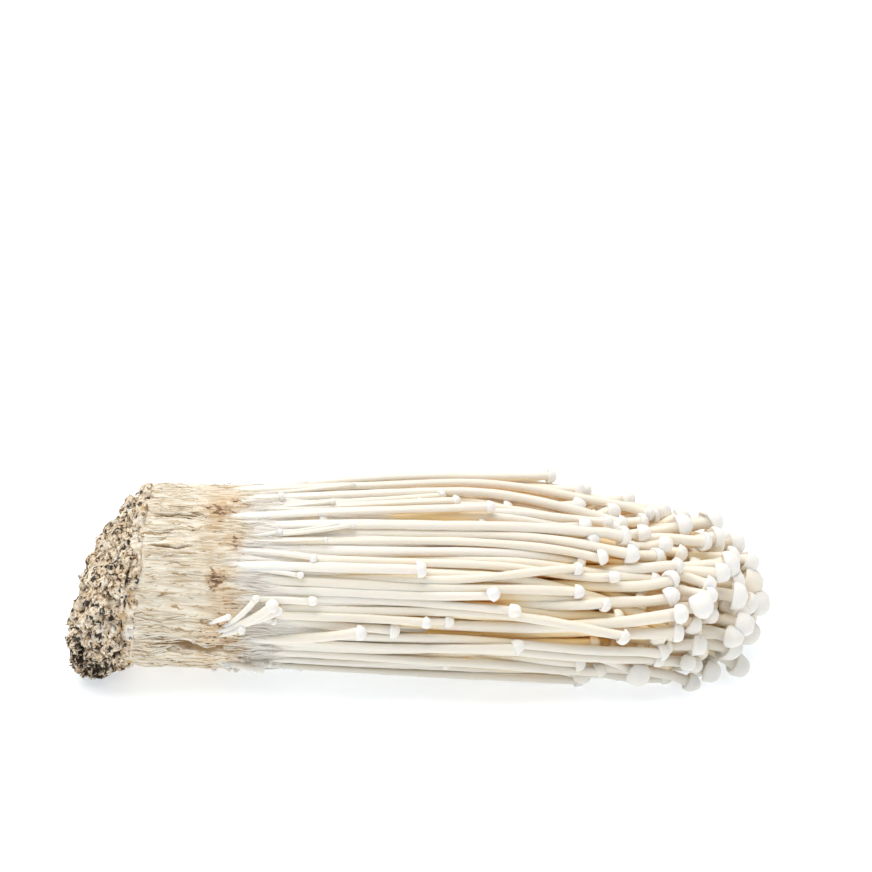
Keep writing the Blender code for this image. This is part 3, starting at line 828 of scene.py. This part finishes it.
class EnokiLook(bpy.types.PropertyGroup):
    """The colours of the bunch."""

    stem_colour: colour_property("Stems", "Stems over most of their length", (0.868, 0.818, 0.748))
    root_colour: colour_property("Stem roots", "Stems where they leave the mat", (0.955, 0.930, 0.880))
    ivory_colour: colour_property("Ivory", "The yellower stems and blotches", (0.870, 0.790, 0.640))
    cap_colour: colour_property("Caps", "The caps", (0.915, 0.888, 0.845))
    # The next two colours are painted shade in the gaps between stems, warm, laid by how far other stems cover each
    # point.
    deep_gap_shade_colour: colour_property("Amber", "The middle of the bunch, seen through the gaps", (1.000, 0.600, 0.150))
    gap_shade_colour: colour_property("Deep", "Stems deep inside the bunch", (0.985, 0.780, 0.450))
    # Painted shade: the grey that the bunch is mixed towards low down, near the floor.
    underside_shade_colour: colour_property("Damp", "The greyer side that the bunch lies on", (0.715, 0.695, 0.635))
    mat_colour: colour_property("Mat", "The fused stem bases", (0.945, 0.865, 0.705))
    pale_colour: colour_property("Pale threads", "The palest threads of the mat", (0.985, 0.950, 0.865))
    blush_colour: colour_property("Blush", "Pinkish patches of the mat", (0.890, 0.720, 0.510))
    tan_colour: colour_property("Tan", "Darker streaks of the mat", (0.820, 0.655, 0.430))
    # Painted shade in the mat's creases, clefts and fine crease lines.
    crease_shade_colour: colour_property("Creases", "Grooves of the mat", (0.400, 0.255, 0.110))
    rust_colour: colour_property("Rust", "Orange rims of the mat's stains", (0.700, 0.470, 0.260))
    stain_colour: colour_property("Stains", "Brown middles of the mat's stains", (0.220, 0.120, 0.060))
    # The darkest crumbs, and the painted shade in the plug's cracks, rents and pits.
    dark_crumb_and_crack_shade_colour: colour_property("Cracks", "Cracks in the plug", (0.022, 0.014, 0.009))
    bark_colour: colour_property("Bark", "The darkest crumbs of the plug", (0.200, 0.118, 0.060))
    crumb_colour: colour_property("Crumbs", "Most crumbs of the plug", (0.650, 0.485, 0.310))
    ash_colour: colour_property("Ash", "Greyer patches of the plug", (0.470, 0.385, 0.290))
    straw_colour: colour_property("Straw", "Light crumbs of the plug", (0.925, 0.800, 0.620))
    husk_colour: colour_property("Husk", "The lightest crumbs of the plug", (0.990, 0.965, 0.900))
    ochre_colour: colour_property("Ochre", "Ochre streaks of the plug", (0.620, 0.380, 0.140))
    mould_colour: colour_property("Mould", "White mould on the plug", (0.930, 0.905, 0.850))


class EnokiSizes(bpy.types.PropertyGroup):
    """The sizes of the fine detail that the solids leave to the looks."""

    stem_sides: bpy.props.IntProperty(
        name="Stem sides", description="Points round a stem", default=12, min=5, max=32
    )
    ring_gap: length_property("Ring gap", "Distance between the rings of a stem", 0.0034)
    fibre_relief: length_property("Fibre relief", "Height of the fibres of the mat", 0.00040)
    crumb_relief: length_property("Crumb relief", "Height of the plug's crumbs", 0.00042)
    fibres: count_property("Fibres", "Fine fibres on the mat", 2900)
    strands: count_property("Strands", "Stunted strands round the base", 26)
    pins: count_property("Pins", "Pinheads round the edge of the mat", 36)
    chips: count_property("Chips", "Loose chips on the plug", 1300)


class StageSetup(bpy.types.PropertyGroup):
    """The floor, light and camera."""

    azimuth: angle_property("Azimuth", "Camera's angle round the bunch", -2)
    elevation: angle_property("Elevation", "Camera's angle over the floor", 20)
    distance: length_property("Distance", "Camera to the point it aims at", 0.60)
    frame_width: length_property("Frame width", "Width of the view at that point", 0.2106)
    aim_right: length_property("Aim right", "The aim's offset to the right of the middle", 0.0067)
    aim_up: length_property("Aim up", "The aim's offset over the bunch, across the view", 0.0332)
    floor_glow: bpy.props.FloatProperty(
        name="Floor glow", description="Light that comes through the floor, as from a light table", default=0.58, min=0
    )
    floor_colour: colour_property("Floor", "The floor", (0.640, 0.640, 0.640))


# Pieces.


def show(obj, *nodes, slot):
    """Makes a piece ride with the bunch and stand for its solids."""
    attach(obj, "root")
    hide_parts(*nodes)


class ENOKI_OT_mushrooms(bpy.types.Operator):
    """Grow every mushroom of the bunch, stem and cap"""

    bl_idname = "enoki.mushrooms"
    bl_label = "Mushrooms"

    def execute(self, context):
        sizes = context.scene.enoki_sizes
        material = mushroom_flesh(context.scene.enoki_look)
        skins = {name: Skin() for name in ("top", "front", "under", "back", "heart")}
        mushrooms, rows = grow(), []
        for mushroom in mushrooms:
            quarter = ("back", "top", "front", "under")[round(mushroom.angle / math.tau * 4) % 4]
            if mushroom.spread > OUTER_SPREAD:
                side, from_out = quarter, OUTER_ROOT_OUT
            elif mushroom.spread > MIDDLE_SPREAD:
                side, from_out = quarter, MIDDLE_ROOT_OUT
            else:
                side, from_out = "heart", INNER_ROOT_OUT
            from_out = min(from_out, mushroom.length - 0.02)
            steps = max(4, round((mushroom.length - from_out) / sizes.ring_gap))
            outs = np.linspace(from_out, mushroom.length, steps + 1)
            rows.append((side, outs, stem_points(mushroom, outs)))
        covers = cover_over([line for _, _, line in rows])
        for index, (mushroom, (side, outs, line), cover) in enumerate(zip(mushrooms, rows, covers)):
            add_mushroom(
                skins[side],
                random.Random(SEED * 1000 + index),
                line,
                outs,
                stem_radius(mushroom, outs),
                eased((0.085 - outs) / 0.050),
                cover,
                mushroom.cap_radius,
                mushroom.cap_height,
                mushroom.cap_tilt,
                sizes.stem_sides,
            )
        for name, skin in skins.items():
            show(skin.made(f"mushrooms_{name}", material), "mushroom_cluster", slot="mushroom_flesh")
        return {"FINISHED"}


class ENOKI_OT_stem_bases(bpy.types.Operator):
    """Lay the mat of fused stem bases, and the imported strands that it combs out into"""

    bl_idname = "enoki.stem_bases"
    bl_label = "Fused stem bases"
    sides = 540

    def cleft(self, turn, out):
        """How deep the mat is cut here, in metres, and how far into a cut this is, 0 to 1."""
        deepest, share = 0.0, 0.0
        for at, start, end, width, depth in CLEFTS:
            off = math.remainder(turn - math.radians(at), math.tau) * 0.020
            if abs(off) > 0.006:
                continue
            off += 0.0016 * noise.noise(Vector((at, out / 0.010, 0)))
            off += 0.0005 * noise.noise(Vector((at, out / 0.002, 4)))
            width *= 0.9 + 0.8 * noise.noise(Vector((at, out / 0.0035, 8)))
            inside = float(eased(1.6 - abs(off) / max(width, 1e-5)))
            inside *= float(eased((out - start) / 0.004)) * float(eased((end - out) / 0.006))
            deepest, share = max(deepest, inside * depth), max(share, inside)
        return deepest, share

    def torn(self, about):
        """How far out the mat comes apart into strands, at a point round it."""
        return TORN_OUT + 0.0060 * noise.noise(about / 0.0040) + 0.0030 * noise.noise(about / 0.0011)

    def stained(self, turn, out):
        total = 0.0
        for at, far, radius, darkness in STAINS:
            off = math.remainder(turn - math.radians(at), math.tau) * RIM
            total = max(total, darkness * math.exp(-(off * off + (out - far) ** 2) / (radius * radius)))
        return total

    def execute(self, context):
        relief = context.scene.enoki_sizes.fibre_relief
        outs = np.concatenate([np.arange(0, 0.032, 0.0007), np.linspace(0.032, CORE_OUT[-1], 56)])
        turns = math.tau * np.arange(self.sides) / self.sides
        shares = smooth_through(outs, CORE_OUT, CORE_SHARE)
        points, groove_shades, stains, edges = [], [], [], []
        for out, core_share in zip(outs, shares):
            half_width, half_height, middle = (float(size) for size in oval(out))
            slant = -CORE_SLANT * max(0.0, out - CORE_SLANT_OUT) / (CORE_OUT[-1] - CORE_SLANT_OUT)
            for turn in turns:
                about = round_rim(turn)
                torn = self.torn(about)
                loose = float(eased((out - torn) / TEAR_LENGTH))
                fine = noise.noise(Vector((about.x / 0.00060, about.y / 0.00060, out / 0.007)))
                coarse = noise.noise(Vector((about.x / 0.0019, about.y / 0.0019, out / 0.015 + 7)))
                wander = noise.noise(Vector((about.x / 0.0055, about.y / 0.0055, out / 0.022 + 3)))
                split = noise.noise(Vector((about.x / 0.0030, about.y / 0.0030, out / 0.040 + 23)))
                strand = abs(math.sin(math.pi * (STRANDS_ROUND * turn / math.tau + 1.3 * wander + 0.8 * split)))
                depth, cut = self.cleft(turn, out)
                combed = relief * (0.7 * fine + 1.0 * coarse)
                packed = relief * (0.4 * fine + 1.6 * (strand**0.6 - 0.6) + 0.8 * split)
                packed *= 0.7 + 0.6 * float(eased(out / 0.060))
                raised = (combed * (1 - loose) + packed * loose) * float(eased(out / 0.002)) - depth
                y = (half_width * core_share + raised) * math.cos(turn)
                z = middle + (half_height * core_share + raised) * math.sin(turn)
                point = placed(out, y, max(z, 0.0002))
                point[0] += slant * (z - middle)
                points.append(point)
                # Painted shade mask: deep in the clefts, between the strands where the mat comes apart, and by noise
                # over the rest of the mat.
                open_mat = 0.55 + 0.5 * fine
                groove_shades.append(min(1.0, cut * 1.1 + open_mat * (1 - loose) + loose * (1 - strand) ** 2))
                edge = math.exp(-(((out - torn) / 0.0016) ** 2))
                blot = noise.noise(Vector((about.x / 0.0042, about.y / 0.0042, out / 0.005 + 31)))
                stains.append(max(self.stained(turn, out), edge * max(0.0, blot * 1.3 + 0.1)))
                edges.append(loose)
        skin = Skin()
        skin.add(
            points,
            tube_faces(len(outs), self.sides, closed=True),
            out=np.repeat(outs, self.sides),
            tone=0.4,
            groove=np.array(groove_shades),
            stain=np.array(stains),
            loose=np.array(edges),
        )
        material = mat_flesh(context.scene.enoki_look)
        show(skin.made("fused_stem_bases", material), "mushroom_cluster", slot="mushroom_flesh")
        show(self.fibres(context, material), "mushroom_cluster", slot="mushroom_flesh")
        return {"FINISHED"}

    def fibres(self, context, material):
        """Fine fibres, combed lengthwise in waves that they share with their neighbours."""
        draw = random.Random(SEED + 3)
        skin = Skin()
        sides = 4
        ring = math.tau * np.arange(sides) / sides
        for _ in range(context.scene.enoki_sizes.fibres):
            turn = draw.uniform(0, math.tau)
            start = draw.uniform(-0.004, 0.0260)
            end = start + draw.uniform(0.004, 0.012)
            if self.cleft(turn, (start + end) / 2)[1] > 0.4:
                continue
            outs = np.linspace(max(start, 0.0002), max(end, 0.002), 8)
            share = np.linspace(0, 1, len(outs))
            rough = 0.6 + 0.9 * float(eased(0.3 - 1.1 * math.sin(turn))) * float(eased(0.3 - 1.1 * math.cos(turn)))
            waves = np.array([noise.noise(Vector((turn * 7.0, out / 0.0065, 3))) for out in outs])
            waves += [0.45 * noise.noise(Vector((turn * 22.0, out / 0.0028, 9))) for out in outs]
            turns = turn + 0.065 * rough * waves + draw.gauss(0, 0.020) * share
            radius = draw.uniform(0.00008, 0.00017) * rough * (1.5 if draw.random() < 0.12 else 1.0)
            lift = draw.uniform(-0.6, 0.5) * radius
            if draw.random() < 0.10 * rough:
                lift += draw.uniform(0.0002, 0.0006)
            line = on_mat(turns, outs)
            heights = lift * np.sin(math.pi * share) ** 0.7 + 0.00010 - 0.0004 * np.abs(2 * share - 1) ** 4
            line = line + outwards(line) * heights[:, None]
            line[:, 2] = np.maximum(line[:, 2], radius)
            radii = radius * (1 - 0.65 * np.abs(2 * share - 1) ** 3)
            points = rings_round(line, np.repeat(radii[:, None], sides, axis=1), ring)
            stain = np.repeat([self.stained(at, out) for at, out in zip(turns, outs)], sides)
            torn = self.torn(round_rim(turn))
            skin.add(
                points,
                tube_faces(len(outs), sides, closed=True),
                out=np.repeat(outs, sides),
                tone=draw.random(),
                groove=0.0,
                stain=stain,
                loose=np.repeat(eased((outs - torn) / TEAR_LENGTH), sides),
            )
        return skin.made("base_fibres", material)


class ENOKI_OT_strands(bpy.types.Operator):
    """Lay the stunted strands, stubs and pinheads that cling to the outside of the base"""

    bl_idname = "enoki.strands"
    bl_label = "Stunted strands"

    def execute(self, context):
        sizes = context.scene.enoki_sizes
        draw = random.Random(SEED + 1)
        skin = Skin()
        for turn, out, end_turn, end_out, lift, radius in STUBS:
            self.add(skin, draw, math.radians(turn), out, math.radians(end_turn), end_out, lift, radius, 12)
        for _ in range(sizes.strands):
            turn, out = draw.uniform(0, math.tau), draw.uniform(0.017, 0.034)
            end_turn, end_out = turn + draw.gauss(0, 0.05), out + draw.uniform(0.008, 0.030)
            lift, radius = draw.uniform(0, 0.0002), draw.uniform(0.0004, 0.0007)
            self.add(skin, draw, turn, out, end_turn, end_out, lift, radius, 8)
        for _ in range(sizes.pins):
            turn, out = math.radians(draw.gauss(252, 24)), draw.gauss(0.0230, 0.0045)
            end_turn, end_out = turn + draw.gauss(0, 0.07), out + draw.uniform(0.0012, 0.0045)
            lift, radius = draw.uniform(0.0, 0.0010), draw.uniform(0.0003, 0.0005)
            self.add(skin, draw, turn, out, end_turn, end_out, lift, radius, 8)
        strands = skin.made("stunted_strands", mushroom_flesh(context.scene.enoki_look))
        show(strands, "mushroom_cluster", slot="mushroom_flesh")
        return {"FINISHED"}

    def add(self, skin, draw, turn, out, end_turn, end_out, lift, radius, sides):
        """A curved strand whose root is buried in the mat and whose tip stands off it by the lift."""
        own = random.Random(draw.random())
        steps = max(5, round((end_out - out) / 0.0016))
        share = np.linspace(0, 1, steps + 1)
        outs = out + (end_out - out) * share
        bow = own.uniform(-0.03, 0.03) * np.sin(math.pi * share)
        turns = turn + (end_turn - turn) * share**1.5 + bow
        line = on_mat(turns, outs, 0.985)
        heights = radius * (share * 1.6 - 0.6) + lift * share**1.5
        line = line + outwards(line) * heights[:, None]
        line[:, 2] = np.maximum(line[:, 2], radius)
        radii = radius * (0.75 + 0.25 * share)
        cap_radius = radius * own.uniform(1.15, 1.6)
        tilt = [own.gauss(0, 0.3) for _ in range(3)]
        cap_height = cap_radius * own.uniform(1.1, 1.6)
        add_mushroom(skin, own, line, outs, radii, 0 * outs, 0 * outs, cap_radius, cap_height, tilt, sides)


class ENOKI_OT_plug(bpy.types.Operator):
    """Shape the torn, crumbly plug of sawdust"""

    bl_idname = "enoki.plug"
    bl_label = "Plug"
    cuts = 116

    def execute(self, context):
        relief = context.scene.enoki_sizes.crumb_relief
        lump = bmesh.new()
        bmesh.ops.create_cube(lump, size=2)
        bmesh.ops.subdivide_edges(lump, edges=lump.edges, cuts=self.cuts, use_grid_fill=True)
        crumbs, groove_shades, moulds, loose = [], [], [], []
        for corner in lump.verts:
            way = corner.co.normalized()
            point = plug_point(way)
            back = float(placed(0, 0, point.z)[0]) - point.x
            crumbly = float(eased((0.017 - point.z) / 0.012) * eased((back - 0.002) / 0.006))
            bend = Vector([noise.noise(point * 500 + Vector((shift, 0, 0))) for shift in (10, 20, 30)]) * 0.0007
            near, cells = noise.voronoi((point + bend) * 560)
            fine_near, fine_cells = noise.voronoi((point + bend) * 1500)
            level, fine_level = noise.cell(cells[0] * 7.3), noise.cell(fine_cells[0] * 5.1)
            edge = float(eased(1 - (near[1] - near[0]) / 0.22))
            fine_edge = float(eased(1 - (fine_near[1] - fine_near[0]) / 0.30))
            torn = point + bend * 2
            rent = max(0.0, noise.noise(Vector((torn.x * 330, torn.y * 330, torn.z * 150 + 5))) - 0.25 + 0.06 * crumbly)
            swell = noise.noise(point * 420 + Vector((3, 8, 1)))
            coarse = (0.8 * level - 0.7 * edge - 0.2) * (0.25 + 1.1 * crumbly)
            fine = 0.25 * fine_level - 0.15 * fine_edge
            point += way * (relief * (coarse + fine + 0.7 * swell - 0.3) - min(0.0016, 0.0075 * rent))
            point = against_mat(point)
            corner.co = point
            crumbs.append(0.5 * level + 0.5 * fine_level)
            # Painted shade mask: the cracks between crumbs and the rents, where the surface is sunk.
            groove_shades.append(min(1.0, (0.15 + 0.45 * crumbly) * edge + 0.25 * crumbly * fine_edge + 6.0 * rent))
            loose.append(crumbly)
            lump_of_mould = max(
                math.exp(-((math.hypot(point.y - MIDDLE_Y - y, point.z - z) / size) ** 2)) * float(back < reach)
                for y, z, reach, size in MOULD_SPOTS
            )
            moulds.append(max(lump_of_mould * 1.2, float(eased(1 - back / 0.0055)) * 0.75))
        points = [tuple(corner.co) for corner in lump.verts]
        faces = [tuple(corner.index for corner in face.verts) for face in lump.faces]
        lump.free()
        skin = Skin()
        skin.add(
            points,
            faces,
            crumb=np.array(crumbs),
            groove=np.array(groove_shades),
            mould=np.array(moulds),
            loose=np.array(loose),
        )
        material = plug_matter(context.scene.enoki_look)
        show(skin.made("sawdust_plug", material), "substrate_plug", slot="growing_plug")
        show(self.chips(context, material), "substrate_plug", slot="growing_plug")
        return {"FINISHED"}

    def chips(self, context, material):
        """Chips of wood and bran, stuck all over the plug at all angles."""
        draw = random.Random(SEED + 2)
        block = bmesh.new()
        bmesh.ops.create_icosphere(block, subdivisions=1, radius=1)
        corners = [corner.co.copy() for corner in block.verts]
        faces = [tuple(corner.index for corner in face.verts) for face in block.faces]
        block.free()
        skin = Skin()
        for _ in range(context.scene.enoki_sizes.chips):
            way = Vector([draw.gauss(0, 1) for _ in range(3)])
            way.x = -abs(way.x) if draw.random() < 0.6 else way.x * 0.4
            way.normalize()
            at = plug_point(way) + way * draw.uniform(-0.0008, 0.0001)
            if at.z > 0.016 and draw.random() < 0.6:
                continue
            angle = draw.uniform(0, math.tau)
            turn = Matrix.Rotation(angle, 3, Vector([draw.gauss(0, 1) for _ in range(3)]).normalized())
            size = draw.uniform(0.00020, 0.00065)
            shape = Vector([size * draw.uniform(*share) for share in ((1.0, 2.0), (0.6, 1.0), (0.25, 0.6))])
            wander = Vector([draw.uniform(0, 50) for _ in range(3)])
            points = []
            for corner in corners:
                off = turn @ Vector([a * b for a, b in zip(corner, shape)])
                points.append(tuple(against_mat(at + off * (1 + 0.5 * noise.noise(corner + wander)))))
            mould = 1.0 if draw.random() < 0.06 else 0.0
            skin.add(points, faces, crumb=draw.uniform(0.1, 1.15), groove=0.0, mould=mould, loose=0.5)
        return skin.made("sawdust_chips", material)


class ENOKI_OT_lip(bpy.types.Operator):
    """Run the ragged lip of mould round the seam of plug and mat"""

    bl_idname = "enoki.lip"
    bl_label = "Mould lip"
    sides = 520

    def execute(self, context):
        turns = math.tau * np.arange(self.sides) / self.sides
        half_width, half_height, middle = (float(size) for size in oval(0.0))
        points, crumbs, groove_shades, moulds = [], [], [], []
        for out, height in LIP_ROWS:
            for turn in turns:
                about = round_rim(turn)
                ragged = 0.30 + 0.9 * noise.noise(about / 0.0030) + 0.6 * noise.noise(about / 0.0009)
                wander = 0.0007 * noise.noise(about / 0.0035 + Vector((4, 4, 4)))
                reach = max(-0.0006, height * ragged) if height > 0 else height
                y = (half_width + reach) * math.cos(turn)
                z = middle + (half_height + reach) * math.sin(turn)
                points.append(placed(out + wander, y, max(z, OFF_FLOOR)))
                crumbs.append(0.45 + 0.9 * noise.noise(about / 0.0016 + Vector((8, 0, out * 300))))
                # Painted shade mask: dark creases laid by noise over the lip.
                groove_shades.append(max(0.0, -1.2 * noise.noise(about / 0.0011 + Vector((0, 8, out * 500)))))
                patchy = 0.42 + 0.55 * noise.noise(about / 0.0032 + Vector((5, 0, 5 + out * 800)))
                moulds.append(patchy + 0.30 * float(eased(0.4 - 1.2 * math.sin(turn))))
        skin = Skin()
        rings = len(LIP_ROWS)
        faces = [face for face in tube_faces(rings, self.sides, closed=True) if len(face) == 4]
        last = (rings - 1) * self.sides
        faces += [(last + i, last + (i + 1) % self.sides, (i + 1) % self.sides, i) for i in range(self.sides)]
        skin.add(points, faces, crumb=np.array(crumbs), groove=np.array(groove_shades), mould=np.array(moulds), loose=0.0)
        lip = skin.made("mould_lip", plug_matter(context.scene.enoki_look))
        show(lip, "substrate_plug", slot="growing_plug")
        return {"FINISHED"}


class ENOKI_OT_stage(bpy.types.Operator):
    """Set the floor, the light and the camera"""

    bl_idname = "enoki.stage"
    bl_label = "Stage"

    def execute(self, context):
        stage = context.scene.enoki_stage
        mesh = bpy.data.meshes.new("floor")
        mesh.from_pydata([(-4, -4, 0), (4, -4, 0), (4, 4, 0), (-4, 4, 0)], [], [(0, 1, 2, 3)])
        floor = bpy.data.objects.new("floor", mesh)
        context.scene.collection.objects.link(floor)
        mesh.materials.append(Recipe("floor", stage.floor_colour).finish(
            Base_Color=stage.floor_colour,
            Roughness=0.6,
            Specular_IOR_Level=0.2,
            Emission_Color=(0.90, 0.95, 1.0),
            Emission_Strength=stage.floor_glow,
        ))

        world = bpy.data.worlds.new("studio")
        context.scene.world = world
        world.use_nodes = True
        sky = world.node_tree.nodes["Background"].inputs
        sky["Color"].default_value = (0.96, 0.98, 1.0, 1)
        sky["Strength"].default_value = 0.58
        self.add_light("key_light", (-0.22, 0.10, 0.96), math.radians(60), 2.50, (1.0, 0.985, 0.96))

        turn, rise = stage.azimuth, stage.elevation
        back = Vector((math.sin(turn) * math.cos(rise), -math.cos(turn) * math.cos(rise), math.sin(rise)))
        right = Vector((math.cos(turn), math.sin(turn), 0))
        up = back.cross(right)
        aim = Vector((0, 0, MIDDLE_HEIGHT)) + right * stage.aim_right + up * stage.aim_up
        data = bpy.data.cameras.new("camera")
        data.lens = data.sensor_width * stage.distance / stage.frame_width
        data.clip_start = 0.01
        camera = bpy.data.objects.new("camera", data)
        camera.location = aim + back * stage.distance
        camera.rotation_euler = back.to_track_quat("Z", "Y").to_euler()
        context.scene.collection.objects.link(camera)
        context.scene.camera = camera
        context.scene.view_settings.view_transform = "Standard"
        context.scene.cycles.diffuse_bounces = 12
        return {"FINISHED"}

    def add_light(self, name, place, spread, power, colour):
        data = bpy.data.lights.new(name, "SUN")
        data.angle = spread
        data.energy = power
        data.color = colour
        light = bpy.data.objects.new(name, data)
        light.location = place
        light.rotation_euler = Vector(place).to_track_quat("Z", "Y").to_euler()
        bpy.context.scene.collection.objects.link(light)


class ENOKI_PT_panel(bpy.types.Panel):
    """Lists the pieces of the bunch"""

    bl_label = "Enoki bunch"
    bl_idname = "ENOKI_PT_panel"
    bl_space_type = "VIEW_3D"
    bl_region_type = "UI"
    bl_category = "Enoki"

    def draw(self, context):
        for group in (context.scene.enoki_sizes, context.scene.enoki_look, context.scene.enoki_stage):
            box = self.layout.box()
            for name in group.__annotations__:
                box.prop(group, name)
        for operator in OPERATORS:
            self.layout.operator(operator.bl_idname)


OPERATORS = (
    ENOKI_OT_mushrooms,
    ENOKI_OT_stem_bases,
    ENOKI_OT_strands,
    ENOKI_OT_plug,
    ENOKI_OT_lip,
    ENOKI_OT_stage,
)
GROUPS = {"enoki_look": EnokiLook, "enoki_sizes": EnokiSizes, "enoki_stage": StageSetup}


def register():
    for cls in (*GROUPS.values(), *OPERATORS, ENOKI_PT_panel):
        bpy.utils.register_class(cls)
    for name, group in GROUPS.items():
        setattr(bpy.types.Scene, name, bpy.props.PointerProperty(type=group))


def unregister():
    for name in GROUPS:
        delattr(bpy.types.Scene, name)
    for cls in reversed((*GROUPS.values(), *OPERATORS, ENOKI_PT_panel)):
        bpy.utils.unregister_class(cls)


def main():
    register()
    for operator in OPERATORS:
        group, name = operator.bl_idname.split(".")
        getattr(getattr(bpy.ops, group), name)()


if __name__ == "__main__":
    main()
